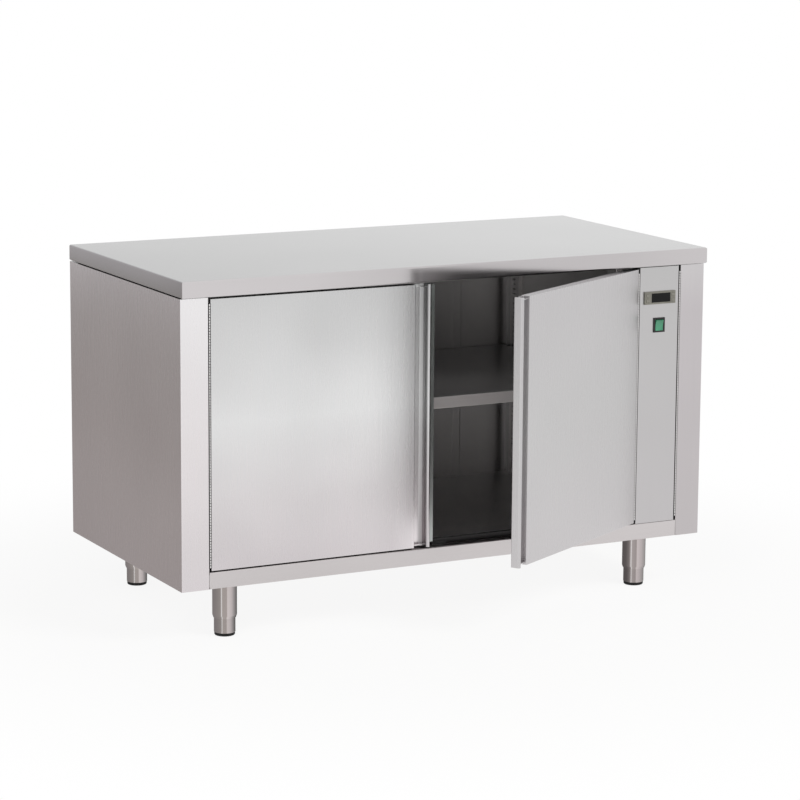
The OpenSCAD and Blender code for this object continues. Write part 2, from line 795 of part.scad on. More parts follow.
module thermostat_key(i) {
  key_travel = 0.6;
  color("gray") at_panel_face(thermo_z)
    translate([key_x[floor(i / 2)] - key_w / 2, -thermo_proud - key_proud, key_z[i % 2] - key_h / 2])
      cube([key_w, thermo_proud + key_proud - key_travel, key_h]);
}
module thermostat_key_1() { thermostat_key(1); }
module thermostat_key_2() { thermostat_key(0); }
module thermostat_key_3() { thermostat_key(3); }
module thermostat_key_4() { thermostat_key(2); }

// Rocker switch: bezel and case with a pocket, and a rocker on two pivots
rocker_axis_y = 2;
rocker_pivot_r = 1.5;
module switch_body() {
  pocket_w = rocker_w + 2 * rocker_gap;
  pocket_h = rocker_h + 2 * rocker_gap;
  color("black") at_panel_face(switch_z) difference() {
    union() {
      translate([-switch_w / 2, -switch_proud, -switch_h / 2]) cube([switch_w, switch_proud, switch_h]);
      translate([-switch_cut_w / 2 + rest_gap, 0, -switch_cut_h / 2 + rest_gap])
        cube([switch_cut_w - 2 * rest_gap, switch_depth, switch_cut_h - 2 * rest_gap]);
    }
    translate([-pocket_w / 2, -switch_proud - cut, -pocket_h / 2]) cube([pocket_w, 14 + cut, pocket_h]);
    translate([-pocket_w / 2 - 1.5, rocker_axis_y, 0]) rotate([0, 90, 0])
      cylinder(r = rocker_pivot_r + pin_clear, h = pocket_w + 3);
  }
}
module switch_rocker() {
  face_r = 40;
  rise = 3.2;
  color("seagreen") at_panel_face(switch_z) translate([0, rocker_axis_y, 0]) {
    rotate([rocker_tilt, 0, 0]) translate([-rocker_w / 2, 0, 0]) rotate([90, 0, 90])
      linear_extrude(rocker_w) difference() {
        translate([-switch_proud - rocker_axis_y - rise, -rocker_h / 2])
          square([switch_proud + rocker_axis_y + rise + 4, rocker_h]);
        translate([-switch_proud - rocker_axis_y - face_r, 0]) circle(face_r, $fn = 96);
      }
    translate([-rocker_w / 2 - 1.2, 0, 0]) rotate([0, 90, 0])
      cylinder(r = rocker_pivot_r, h = rocker_w + 2.4);
  }
}

// Sheet box on the divider wall, open towards the chamber, with a hole for the motor's shaft
shaft_hole_r = 3 * shaft_r;
module heater_box() {
  color("silver") cabinet() difference() {
    translate([x_box, y_box, z_box]) cube([box_w, box_d, box_h]);
    translate([x_box - cut, y_box + sheet, z_box + sheet])
      cube([box_w - sheet + cut, box_d - 2 * sheet, box_h - 2 * sheet]);
    translate([x_box, y_fan, z_fan]) rotate([0, 90, 0]) cylinder(r = shaft_hole_r, h = box_w + cut);
    for (z = [z_rod, z_rod + 3 * rod_pitch])
      translate([x_box + box_w / 2, y_rod + rod_turn_r, z]) rotate([0, 90, 0])
        cylinder(r = rod_r + rest_gap, h = box_w / 2 + cut);
  }
}

// Heating rod: four parallel legs joined by bends, its ends passing through the box
y_rod = y_box + box_d - 30;
z_rod = z_fan - 1.5 * rod_pitch;
x_rod = x_box + box_w / 2;
rod_run = 80;
rod_turn_r = 12;
module rod_leg(i) {
  translate([x_rod, y_rod - rod_run, z_rod + i * rod_pitch]) rotate([-90, 0, 0])
    cylinder(r = rod_r, h = rod_run);
}
module rod_bend(y, i, side) {
  translate([x_rod, y, z_rod + (i + 0.5) * rod_pitch]) rotate([90, 0, 90])
    rotate([0, 0, side > 0 ? -90 : 90]) rotate_extrude(angle = 180)
      translate([rod_pitch / 2, 0]) circle(rod_r);
}
module rod_end(i) {
  z = z_rod + i * rod_pitch;
  translate([x_rod + rod_turn_r, y_rod, z]) rotate([0, 0, 90]) rotate_extrude(angle = 90)
    translate([rod_turn_r, 0]) circle(rod_r);
  translate([x_rod + rod_turn_r, y_rod + rod_turn_r, z]) rotate([0, 90, 0])
    cylinder(r = rod_r, h = box_w / 2 - rod_turn_r + 25);
}
module heating_element() {
  color("dimgray") cabinet() {
    for (i = [0:3]) rod_leg(i);
    rod_bend(y_rod - rod_run, 0, -1);
    rod_bend(y_rod, 1, 1);
    rod_bend(y_rod - rod_run, 2, -1);
    rod_end(0);
    rod_end(3);
  }
}

// Fan motor on the outside of the heater box, its shaft reaching into the wheel
module fan_motor() {
  flange_t = 3;
  color("dimgray") cabinet() translate([x_box + box_w, y_fan, z_fan]) rotate([0, 90, 0]) {
    cylinder(r = motor_r, h = motor_l);
    cylinder(r = motor_r + 8, h = flange_t);
    translate([0, 0, -sheet - fan_gap - fan_w]) cylinder(r = shaft_r, h = sheet + fan_gap + fan_w + cut);
  }
}

// Fan wheel: a back disc, a front ring and straight blades, running on the motor's shaft
module fan_wheel() {
  blade_l = 16;
  plate_thick = 1.5;
  hub_l = fan_w - 4;
  x_wheel = x_box + box_w - sheet - fan_gap - fan_w;
  color("silver") cabinet() translate([x_wheel, y_fan, z_fan]) rotate([0, 90, 0]) difference() {
    union() {
      translate([0, 0, fan_w - plate_thick]) cylinder(r = fan_r, h = plate_thick);
      difference() {
        cylinder(r = fan_r, h = plate_thick);
        translate([0, 0, -cut]) cylinder(r = fan_r - blade_l, h = plate_thick + 2 * cut);
      }
      translate([0, 0, fan_w - hub_l]) cylinder(r = hub_r, h = hub_l);
      for (i = [0:fan_blades - 1]) rotate(i * 360 / fan_blades)
        translate([fan_r - blade_l, -plate_thick / 2, plate_thick / 2])
          cube([blade_l - 1, plate_thick, fan_w - plate_thick]);
    }
    translate([0, 0, -cut]) cylinder(r = shaft_r + pin_clear, h = fan_w + 2 * cut);
  }
}

// Overheat cut-out on top of the heater box, with the round cover of its sensing disc
module safety_thermostat() {
  color("black") cabinet() translate([x_box + box_w / 2, y_box + 60, z_box + box_h]) {
    translate([-20, -16, 0]) cube([40, 32, 18]);
    translate([0, 0, 18]) cylinder(r = 9, h = 8);
  }
}

// Terminal block on the base sheet, in front of the cable gland
terminal_poles = 5;
block_from_gland = 70;
module terminal_block() {
  pole_w = 12;
  block_l = terminal_poles * pole_w;
  color("ivory") cabinet() translate([gland_x - block_l / 2, gland_y - block_from_gland, z_base + sheet])
    difference() {
      union() {
        cube([block_l, 34, 12]);
        translate([0, 8, 0]) cube([block_l, 18, 24]);
      }
      for (i = [0:terminal_poles - 1])
        translate([(i + 0.5) * pole_w, 17, 12]) cylinder(r = 3.5, h = 13);
    }
}

// Cable gland through the base sheet, with its bore free for a supply cord
gland_inner_l = 10;
gland_outer_l = 24;
module cable_gland() {
  nut_r = 13.5;
  body_r = 10.5;
  mouth_h = 4;
  color("dimgray") cabinet() translate([gland_x, gland_y, z_base]) rotate([180, 0, 0]) difference() {
    union() {
      translate([0, 0, -sheet - gland_inner_l])
        cylinder(r = gland_thread_r - 0.1, h = sheet + gland_inner_l);
      translate([0, 0, -sheet - 5]) cylinder(r = nut_r, h = 5, $fn = 6);
      cylinder(r = nut_r, h = 6, $fn = 6);
      cylinder(r = body_r, h = gland_outer_l - mouth_h);
      translate([0, 0, gland_outer_l - mouth_h]) cylinder(r1 = body_r, r2 = body_r - 3, h = mouth_h);
    }
    translate([0, 0, -sheet - gland_inner_l - cut])
      cylinder(r = gland_r, h = sheet + gland_inner_l + gland_outer_l + 2 * cut);
  }
}

// Legs: a plate and a sleeve fixed under the base, an adjustable foot and its black base
module at_leg(right, back) {
  cabinet() translate([right ? top_w - leg_x : leg_x, back ? body_d - leg_y : leg_y, 0]) children();
}
bolt_x = plate_w / 2 - 12;
module leg_sleeve() {
  tube_h = z_base - plate_t - sleeve_rise;
  bore_r = sleeve_r - sleeve_wall;
  end_r = foot_r + foot_clear;
  difference() {
    union() {
      translate([0, 0, sleeve_rise]) cylinder(r1 = end_r + sleeve_wall, r2 = sleeve_r, h = sleeve_taper);
      translate([0, 0, sleeve_rise + sleeve_taper]) cylinder(r = sleeve_r, h = tube_h - sleeve_taper);
      translate([-plate_w / 2, -plate_w / 2, z_base - plate_t]) cube([plate_w, plate_w, plate_t]);
      for (x = [-bolt_x, bolt_x], y = [-bolt_x, bolt_x])
        translate([x, y, z_base - plate_t - 4]) cylinder(r = 2 * bolt_r, h = 5, $fn = 6);
    }
    translate([0, 0, sleeve_rise - cut]) cylinder(r = end_r, h = sleeve_taper + 2 * cut);
    translate([0, 0, sleeve_rise + sleeve_taper]) cylinder(r = bore_r, h = tube_h - sleeve_taper);
  }
}
module foot() {
  wall = 2;
  foot_top = z_base - plate_t - 8;
  difference() {
    translate([0, 0, cap_h]) cylinder(r = foot_r, h = foot_top - cap_h);
    translate([0, 0, cap_h + wall]) cylinder(r = foot_r - wall, h = foot_top);
  }
}
module foot_cap() {
  edge_r = 3;
  flat_r = foot_r - 1 - edge_r;
  rotate_extrude() {
    square([flat_r, cap_h]);
    translate([flat_r, edge_r]) square([edge_r, cap_h - edge_r]);
    translate([flat_r, edge_r]) intersection() {
      circle(edge_r);
      translate([0, -edge_r]) square(edge_r);
    }
  }
}
module leg_sleeve_front_left() { color("silver") at_leg(false, false) leg_sleeve(); }
module leg_sleeve_front_right() { color("silver") at_leg(true, false) leg_sleeve(); }
module leg_sleeve_back_left() { color("silver") at_leg(false, true) leg_sleeve(); }
module leg_sleeve_back_right() { color("silver") at_leg(true, true) leg_sleeve(); }
module foot_front_left() { color("gainsboro") at_leg(false, false) foot(); }
module foot_front_right() { color("gainsboro") at_leg(true, false) foot(); }
module foot_back_left() { color("gainsboro") at_leg(false, true) foot(); }
module foot_back_right() { color("gainsboro") at_leg(true, true) foot(); }
module foot_cap_front_left() { color("black") at_leg(false, false) foot_cap(); }
module foot_cap_front_right() { color("black") at_leg(true, false) foot_cap(); }
module foot_cap_back_left() { color("black") at_leg(false, true) foot_cap(); }
module foot_cap_back_right() { color("black") at_leg(true, true) foot_cap(); }

worktop();
top_frame();
side_panel_left();
side_panel_right();
back_panel();
base_pan();
liner_left();
liner_back();
divider_wall();
liner_floor();
liner_ceiling();
wall_insulation();
shelf_uprights();
shelf_clips();
shelf();
magnetic_catches();
hinge_left_frame_leaf();
hinge_left_pin();
hinge_left_door_leaf();
hinge_right_frame_leaf();
hinge_right_pin();
hinge_right_door_leaf();
hinge_panel_frame_leaf();
hinge_panel_pin();
hinge_panel_leaf();
door_left_skin();
door_left_inner_pan();
door_left_core();
door_left_closing_strip();
door_right_skin();
door_right_inner_pan();
door_right_core();
service_panel();
thermostat_body();
thermostat_window();
thermostat_key_1();
thermostat_key_2();
thermostat_key_3();
thermostat_key_4();
switch_body();
switch_rocker();
heater_box();
heating_element();
fan_motor();
fan_wheel();
safety_thermostat();
terminal_block();
cable_gland();
leg_sleeve_front_left();
leg_sleeve_front_right();
leg_sleeve_back_left();
leg_sleeve_back_right();
foot_front_left();
foot_front_right();
foot_back_left();
foot_back_right();
foot_cap_front_left();
foot_cap_front_right();
foot_cap_back_left();
foot_cap_back_right();
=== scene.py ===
import math

import bmesh
import bpy
from mathutils import Matrix, Vector


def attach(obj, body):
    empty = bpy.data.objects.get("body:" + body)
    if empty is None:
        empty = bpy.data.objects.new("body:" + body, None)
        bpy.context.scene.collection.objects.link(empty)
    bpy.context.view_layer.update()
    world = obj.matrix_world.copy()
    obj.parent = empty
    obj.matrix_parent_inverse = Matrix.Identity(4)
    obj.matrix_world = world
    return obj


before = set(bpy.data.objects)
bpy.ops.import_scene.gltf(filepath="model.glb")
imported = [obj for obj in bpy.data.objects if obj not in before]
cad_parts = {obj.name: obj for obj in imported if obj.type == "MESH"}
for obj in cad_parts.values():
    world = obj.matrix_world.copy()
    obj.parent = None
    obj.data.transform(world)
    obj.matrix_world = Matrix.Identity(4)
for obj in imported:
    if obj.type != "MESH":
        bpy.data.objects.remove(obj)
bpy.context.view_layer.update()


# The camera stands left of the front and a little above the worktop, far back with a long
# lens, as for a catalogue picture. Place, turn and lens come from fitting the cabinet's edges.
camera_place = Vector((-3.3419, -6.3965, 1.8476))
pitch = math.radians(-9.883)
roll = math.radians(0.376)
yaw = math.radians(27.314)
picture = 800
focal_pixels = 3016.0
middle = (399.7, 360.0)
sensor = 36.0

look = Vector((math.cos(pitch) * math.sin(yaw), math.cos(pitch) * math.cos(yaw), math.sin(pitch)))
level = Vector((math.cos(yaw), -math.sin(yaw), 0))
up = level.cross(look)
right = math.cos(roll) * level + math.sin(roll) * up
top = math.cos(roll) * up - math.sin(roll) * level
lens = bpy.data.cameras.new("photo_lens")
lens.sensor_width = sensor
lens.lens = focal_pixels * sensor / picture
lens.shift_x = (picture / 2 - middle[0]) / picture
lens.shift_y = (middle[1] - picture / 2) / picture
lens.clip_end = 100
camera = bpy.data.objects.new("photo_camera", lens)
bpy.context.collection.objects.link(camera)
turn = Matrix((right, top, -look)).transposed().to_4x4()
camera.matrix_world = Matrix.Translation(camera_place) @ turn
bpy.context.scene.camera = camera


# The studio: a white sweep of paper with a soft shadow on it, and two large soft lamps high in
# front. Grey and pale cards stand round it and a paper collar round each leg. Only the metal
# mirrors them, and they give the bright steel its tones.
def linear(code):
    """An sRGB hex colour as the linear colour that shaders take."""
    parts = [int(code[i:i + 2], 16) / 255 for i in (1, 3, 5)]
    return [c / 12.92 if c <= 0.04045 else ((c + 0.055) / 1.055) ** 2.4 for c in parts] + [1.0]


def add(tree, kind, inputs=None, stops=None, **settings):
    """Adds a node to a tree, with its settings, its inputs as values or links, and any colour stops."""
    made = tree.nodes.new("ShaderNode" + kind)
    for name, value in settings.items():
        setattr(made, name, value)
    for name, value in (inputs or {}).items():
        if isinstance(value, bpy.types.NodeSocket):
            tree.links.new(value, made.inputs[name])
        else:
            made.inputs[name].default_value = value
    if stops:
        points = made.color_ramp.elements
        while len(points) < len(stops):
            points.new(0.5)
        for point, (place, colour) in zip(points, stops):
            point.position = place
            point.color = linear(colour) if isinstance(colour, str) else [colour] * 3 + [1.0]
    return made


def studio_sheet(name, material, points, faces=((0, 1, 2, 3),)):
    """A sheet of the studio, by default a flat one with four corners."""
    mesh = bpy.data.meshes.new(name)
    mesh.from_pydata(points, [], faces)
    mesh.materials.append(material)
    made = bpy.data.objects.new(name, mesh)
    bpy.context.collection.objects.link(made)
    return made


def card_finish(name, light=1.0):
    """Evenly lit paper for a card: its material, its node tree, and the socket for its tone."""
    made = bpy.data.materials.new(name)
    made.use_nodes = True
    tree = made.node_tree
    tree.nodes.clear()
    shine = add(tree, "Emission", {"Strength": light})
    add(tree, "OutputMaterial", {"Surface": shine.outputs[0]})
    return made, tree, shine.inputs["Color"]


def hide_card(card):
    """Leaves a card to the metal's reflections alone: it lights, shades and shows nothing."""
    card.visible_camera = False
    card.visible_diffuse = False
    card.visible_shadow = False
    card.visible_transmission = False


def mirrored_and_looked_at(tree):
    """Two sockets of a studio surface: 1 for what metal and glass mirror, 1 for what is looked at."""
    path = add(tree, "LightPath")
    mirrored = add(tree, "Math", {0: path.outputs["Is Glossy Ray"],
                                  1: path.outputs["Is Transmission Ray"]}, operation="MAXIMUM")
    return mirrored.outputs[0], path.outputs["Is Camera Ray"]


# looked at, the paper is almost pure white; near the cabinet it keeps a share of its own shade
near_white = 0.88
fade_from, fade_to = 0.7, 1.8
floor_half = 30.0
paper = bpy.data.materials.new("matt_white_paper_sweep")
paper.use_nodes = True
tree = paper.node_tree
tree.nodes.clear()
mirrored, looked_at = mirrored_and_looked_at(tree)
place = add(tree, "TexCoord").outputs["Object"]
reach = add(tree, "VectorMath", {0: place}, operation="LENGTH")
far = add(tree, "MapRange", {"Value": reach.outputs["Value"], "From Min": fade_from,
                             "From Max": fade_to, "To Min": near_white, "To Max": 1.0},
          interpolation_type="SMOOTHSTEP")
seen = add(tree, "Math", {0: looked_at, 1: far.outputs["Result"]}, operation="MULTIPLY")
white = add(tree, "Math", {0: mirrored, 1: seen.outputs[0]}, operation="MAXIMUM")
matt = add(tree, "BsdfDiffuse", {"Color": linear("#F4F3F1")})
bright = add(tree, "Emission", {"Color": linear("#FFFFFF"), "Strength": 1.0})
both = add(tree, "MixShader", {0: white.outputs[0], 1: matt.outputs[0], 2: bright.outputs[0]})
add(tree, "OutputMaterial", {"Surface": both.outputs[0]})
studio_sheet("studio_floor", paper, [(-floor_half, -floor_half, 0), (floor_half, -floor_half, 0),
                                     (floor_half, floor_half, 0), (-floor_half, floor_half, 0)])


def upright_card(start, end, low, high):
    """The corners of a card that stands over the line from start to end, in X and Y."""
    return [(*start, low), (*end, low), (*end, high), (*start, high)]


# The cards, in metres: a wall left of the cabinet in three greys, a mat on the floor before it, a
# pale wall far behind, and a narrow strip of light. Each is (name, grey, light, corners).
wall_x = -1.4
wall_near, wall_turn, wall_far = -0.2, 1.45, 4.5
wall_split, wall_top = 0.555, 3.0
mat_inner, mat_outer, mat_lift = -0.72, -9.0, 0.002
pale_left, pale_right, pale_top = (-3.0, 7.0), (9.0, 5.0), 6.0
strip_middle, strip_half = Vector((-1.25, -1.3)), Vector((0.05, -0.03))
strip_foot, strip_top, strip_power = 0.003, 0.9, 1.6
cards = [
    ("wall_low", "#9D9896", 1.0, upright_card((wall_x, wall_near), (wall_x, wall_far), 0, wall_split)),
    ("wall_high_near", "#ABA6A7", 1.0,
     upright_card((wall_x, wall_near), (wall_x, wall_turn), wall_split, wall_top)),
    ("wall_high_far", "#C2BEC0", 1.0,
     upright_card((wall_x, wall_turn), (wall_x, wall_far), wall_split, wall_top)),
    ("mat_left", "#AFAAA8", 1.0, [(mat_inner, wall_near, mat_lift), (mat_inner, wall_far, mat_lift),
                                  (mat_outer, wall_far, mat_lift), (mat_outer, wall_near, mat_lift)]),
    ("pale_wall", "#E3E3E3", 1.0, upright_card(pale_left, pale_right, 0, pale_top)),
    ("strip_light", "#FFFFFF", strip_power,
     upright_card(strip_middle - strip_half, strip_middle + strip_half, strip_foot, strip_top))]
for name, grey, light, corners in cards:
    finish, tree, tone = card_finish("matt_card_" + name, light)
    tone.default_value = linear(grey)
    hide_card(studio_sheet("card_" + name, finish, corners))

# The collars give each leg's tube its dark and light flanks, as (degrees round the leg from the
# back of X, grey). The narrow white slot at about 224 degrees makes its fine highlight.
collar_left = ((34, "#707070"), (92, "#8A8787"), (123, "#938F8F"), (174, "#9F9B9A"),
               (202, "#A9A5A2"), (219, "#B1ADAA"), (221, "#FFFFFF"), (227, "#FFFFFF"),
               (229, "#C5C0BC"), (261, "#C5BFBC"), (266, "#F4EFEE"), (279, "#F2EDED"),
               (300, "#E2DDDE"), (312, "#CBC8C9"), (326, "#B0AEAF"), (341, "#999898"),
               (359, "#7C7B7B"))
collar_right = ((34, "#707070"), (92, "#6A6767"), (123, "#686464"), (174, "#6E6A6A"),
                (202, "#8E8988"), (214, "#C0BBBA"), (216, "#FFFFFF"), (222, "#FFFFFF"),
                (224, "#C8C3C2"), (258, "#BBB5B4"), (263, "#F2ECEC"), (279, "#EAE4E5"),
                (300, "#DFDADB"), (312, "#D3CFD0"), (326, "#C6C4C4"), (341, "#BCBABA"),
                (359, "#B2B1B1"))
leg_x, front_leg_y, back_leg_y = 0.56, -0.126, 0.412
collar_hole, collar_radius = 0.0295, 0.06
collar_foot, collar_top = 0.002, 0.131
collar_sides = 48
collar_rings = ((collar_hole, collar_foot), (collar_radius, collar_foot), (collar_radius, collar_top))
collar_turns = [2 * math.pi * i / collar_sides for i in range(collar_sides)]
collar_points = [(r * math.cos(a), r * math.sin(a), z) for r, z in collar_rings for a in collar_turns]
collar_faces = [(k * collar_sides + i, k * collar_sides + (i + 1) % collar_sides,
                 (k + 1) * collar_sides + (i + 1) % collar_sides, (k + 1) * collar_sides + i)
                for k in range(len(collar_rings) - 1) for i in range(collar_sides)]
for row, y in (("front", front_leg_y), ("back", back_leg_y)):
    for side, x, tones in (("left", -leg_x, collar_left), ("right", leg_x, collar_right)):
        label = row + "_" + side
        finish, tree, tone = card_finish("graduated_collar_" + label)
        place = add(tree, "TexCoord").outputs["Object"]
        facing = add(tree, "Mapping", {"Vector": place, "Rotation": (0, 0, math.pi)})
        round_leg = add(tree, "TexGradient", {"Vector": facing.outputs[0]}, gradient_type="RADIAL")
        greys = add(tree, "ValToRGB", {0: round_leg.outputs["Fac"]},
                    stops=[(degrees / 360, grey) for degrees, grey in tones])
        tree.links.new(greys.outputs[0], tone)
        collar = studio_sheet("collar_" + label, finish, collar_points, collar_faces)
        collar.location = (x, y, 0)
        hide_card(collar)

world = bpy.data.worlds.new("white_studio")
bpy.context.scene.world = world
world.use_nodes = True
tree = world.node_tree
tree.nodes.clear()
mirrored, looked_at = mirrored_and_looked_at(tree)
white = add(tree, "Math", {0: mirrored, 1: looked_at}, operation="MAXIMUM")
room_light = 0.4
level_of_light = add(tree, "MapRange", {"Value": white.outputs[0], "To Min": room_light, "To Max": 1.0})
sky = add(tree, "Background", {"Color": linear("#FFFFFF"),
                               "Strength": level_of_light.outputs["Result"]})
add(tree, "OutputWorld", {"Surface": sky.outputs[0]})

# each lamp: (name, place and size in metres, power in watts)
lamp_target = Vector((0, 0, 0.45))
for name, place, size, power in (("key_lamp", (2.6, -4.6, 4.6), 2.4, 190.0),
                                 ("fill_lamp", (-4.2, -3.0, 4.0), 3.6, 95.0)):
    lamp = bpy.data.lights.new(name, "AREA")
    lamp.shape = "SQUARE"
    lamp.size = size
    lamp.energy = power
    holder = bpy.data.objects.new(name, lamp)
    holder.location = place
    aim = lamp_target - Vector(place)
    holder.rotation_euler = aim.to_track_quat("-Z", "Y").to_euler()
    holder.visible_glossy = False
    bpy.context.collection.objects.link(holder)
bpy.context.scene.view_settings.view_transform = "Standard"


# The worktop is one sheet of 1.5 mm stainless steel, ground along its length and folded down on all
# four sides. The grinding leaves fine streaks, and the folds are lighter, by wear and a painted
# highlight.
MM = 0.001


def new_finish(name):
    """A new finish: its material, its node tree, its shader, and the place on the object."""
    made = bpy.data.materials.new(name)
    made.use_nodes = True
    tree = made.node_tree
    return made, tree, tree.nodes["Principled BSDF"], add(tree, "TexCoord").outputs["Object"]


def edge_wear_and_painted_light(tree, tone, edge_tone, radius, amount):
    """Mixes a colour towards an edge colour where the sheet turns an edge: a lighter one is wear from
    handling with a painted highlight along the edge, a darker one is painted shade.
    """
    soft = add(tree, "Bevel", {"Radius": radius}, samples=4)
    flat = add(tree, "NewGeometry").outputs["Normal"]
    same = add(tree, "VectorMath", {0: soft.outputs[0], 1: flat}, operation="DOT_PRODUCT")
    edge = add(tree, "MapRange", {"Value": same.outputs["Value"], "From Min": 0.995, "From Max": 0.8,
                                  "To Min": 0.0, "To Max": amount})
    return add(tree, "Mix", {"Factor": edge.outputs["Result"], 6: tone, 7: linear(edge_tone)},
               data_type="RGBA").outputs[2]


def along_length(tree, x, factors):
    """A factor that changes along X; factors are (millimetres, factor) in rising order."""
    start, end = factors[0][0] * MM, factors[-1][0] * MM
    side = add(tree, "MapRange", {"Value": x, "From Min": start, "From Max": end})
    # the ramp holds half of each factor, as its colours end at 1
    half = add(tree, "ValToRGB", {0: side.outputs["Result"]},
               stops=[((at * MM - start) / (end - start), factor / 2) for at, factor in factors])
    return add(tree, "Math", {0: half.outputs[0], 1: 2.0}, operation="MULTIPLY").outputs[0]


edge_line_width = 1.2      # mm, of the line along a fold: wear and a painted highlight
cloud_size = 312.5      # mm, of the soft clouds that handling and wiping leave
mark_depth = 0.15       # mm, of the grinding marks
rough_spread = 0.02


def steel_sheet(name, bands, grain, rough, streak=0.07, cloud=0.05, edge_tone="#F2F1F0", edge_tone_amount=0.6,
                across=None, run="Z", metal=1.0, fold=None, across_fold=None):
    """Ground stainless sheet. bands are (millimetres along run, colour) in rising order; grain is the
    size of the streaks along X, Y and Z, in mm; across are (millimetres along X, factor) on top, and
    across_fold are those of the folded edge, which ends at fold millimetres along run."""
    made, tree, shader, place = new_finish(name)
    apart = add(tree, "SeparateXYZ", {0: place})
    low, high = bands[0][0] * MM, bands[-1][0] * MM
    along = add(tree, "MapRange", {"Value": apart.outputs[run], "From Min": low, "From Max": high})
    stops = [((at * MM - low) / (high - low), colour) for at, colour in bands]
    tone = add(tree, "ValToRGB", {0: along.outputs["Result"]}, stops=stops).outputs[0]
    marks = add(tree, "Mapping", {"Vector": place, "Scale": [1 / (size * MM) for size in grain]})
    streaks = add(tree, "TexNoise", {"Vector": marks.outputs[0], "Scale": 1.0, "Detail": 4.0,
                                     "Roughness": 0.6})
    clouds = add(tree, "TexNoise", {"Vector": place, "Scale": 1 / (cloud_size * MM), "Detail": 2.0,
                                    "Roughness": 0.45})
    light = add(tree, "MapRange", {"Value": streaks.outputs["Fac"], "From Min": 0.25, "From Max": 0.75,
                                   "To Min": 1 - streak, "To Max": 1 + streak})
    patch = add(tree, "MapRange", {"Value": clouds.outputs["Fac"], "From Min": 0.3, "From Max": 0.7,
                                   "To Min": 1 - cloud, "To Max": 1 + cloud})
    shade = add(tree, "Math", {0: light.outputs["Result"], 1: patch.outputs["Result"]},
                operation="MULTIPLY")
    if across:
        factor = along_length(tree, apart.outputs["X"], across)
        if across_fold:
            past = add(tree, "MapRange", {"Value": apart.outputs[run], "From Min": (fold - 1) * MM,
                                          "From Max": fold * MM})
            folded = along_length(tree, apart.outputs["X"], across_fold)
            factor = add(tree, "Mix", {"Factor": past.outputs["Result"], 2: folded,
                                       3: factor}).outputs[0]
        shade = add(tree, "Math", {0: shade.outputs[0], 1: factor}, operation="MULTIPLY")
    toned = add(tree, "VectorMath", {0: tone, "Scale": shade.outputs[0]}, operation="SCALE").outputs[0]
    if edge_tone_amount:
        toned = edge_wear_and_painted_light(tree, toned, edge_tone, edge_line_width * MM, edge_tone_amount)
    tree.links.new(toned, shader.inputs["Base Color"])
    dull = add(tree, "MapRange", {"Value": streaks.outputs["Fac"], "From Min": 0.25, "From Max": 0.75,
                                  "To Min": rough - rough_spread, "To Max": rough + rough_spread})
    tree.links.new(dull.outputs["Result"], shader.inputs["Roughness"])
    rub = add(tree, "Bump", {"Height": streaks.outputs["Fac"], "Strength": 0.018,
                             "Distance": mark_depth * MM})
    tree.links.new(rub.outputs[0], shader.inputs["Normal"])
    shader.inputs["Metallic"].default_value = metal
    return made


def dress(material, *nodes):
    """Gives CAD nodes their material."""
    for node in nodes:
        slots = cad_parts[node].data.materials
        for i in range(len(slots)):
            slots[i] = material


# the grinding belt's marks, about 0.2 mm wide and 14 mm long, are drawn ten times as coarse to show
coarser = 10
streak_width, streak_length = 0.22222 * coarser, 14.286 * coarser
grain_x = (streak_length, streak_width, streak_width)
grain_z = (streak_width, streak_width, streak_length)
# painted light: the top is painted lighter towards the right, and the folded front is painted darker
# across its middle, as a painted reflection of the open chamber below
worktop_steel = steel_sheet("stainless_sheet_ground_lengthways",
                            ((-213, "#C9C5C6"), (-211, "#C9C5C6"), (-209, "#CBCBCB"), (480, "#D2D2D2")),
                            grain_x, 0.14, run="Y", fold=-210,
                            across=((-700, 0.92), (-380, 1.02), (-113, 1.08), (153, 1.16), (420, 1.22),
                                    (700, 1.24)),
                            across_fold=((-700, 1.04), (-380, 1.02), (-113, 0.92), (153, 0.89),
                                         (420, 0.92), (700, 1.0)),
                            streak=0.01, cloud=0.02, edge_tone="#DCDAD9", edge_tone_amount=0.3)
dress(worktop_steel, "worktop")


# Under the worktop lies a welded frame of galvanised channel with cross bars, which carries it.
# Zinc shows grey spangle, crystals a centimetre or so across.
zinc, tree, shader, place = new_finish("hot_dip_galvanised_steel")
spangle_size = 11.111   # mm
crystals = add(tree, "TexVoronoi", {"Vector": place, "Scale": 1 / (spangle_size * MM),
                                    "Randomness": 1.0})
grey = add(tree, "ValToRGB", {0: crystals.outputs["Color"]}, stops=((0.0, "#8C9092"), (1.0, "#B4B8B9")))
tree.links.new(grey.outputs[0], shader.inputs["Base Color"])
mottle = add(tree, "MapRange", {"Value": crystals.outputs["Distance"], "From Max": 0.6,
                                "To Min": 0.34, "To Max": 0.52})
tree.links.new(mottle.outputs["Result"], shader.inputs["Roughness"])
shader.inputs["Metallic"].default_value = 0.9
dress(zinc, "top_frame", "heater_box")


# The side panels are single sheets folded round the front into the stiles and round the back into a
# flange. The front stiles catch more light than the long flat sides, so the left sheet is painted
# lighter than the right and lighter towards the top, as painted light.
left_steel = steel_sheet("stainless_sheet_ground_upright_left",
                         ((132, "#D8D2D4"), (450, "#E4DFE0"), (700, "#E8E5E6"), (812, "#EAE8E9")),
                         grain_z, 0.28, streak=0.008, cloud=0.03)
right_steel = steel_sheet("stainless_sheet_ground_upright_right",
                          ((132, "#C0BBBC"), (700, "#C5C0C2"), (812, "#CDCACB")),
                          grain_z, 0.3, streak=0.015, cloud=0.02)
back_steel = steel_sheet("stainless_sheet_ground_upright_back",
                         ((132, "#C6C2C2"), (812, "#CDCACA")), grain_z, 0.32, streak=0.02)
dress(left_steel, "side_panel_left")
dress(right_steel, "side_panel_right")
dress(back_steel, "back_panel")


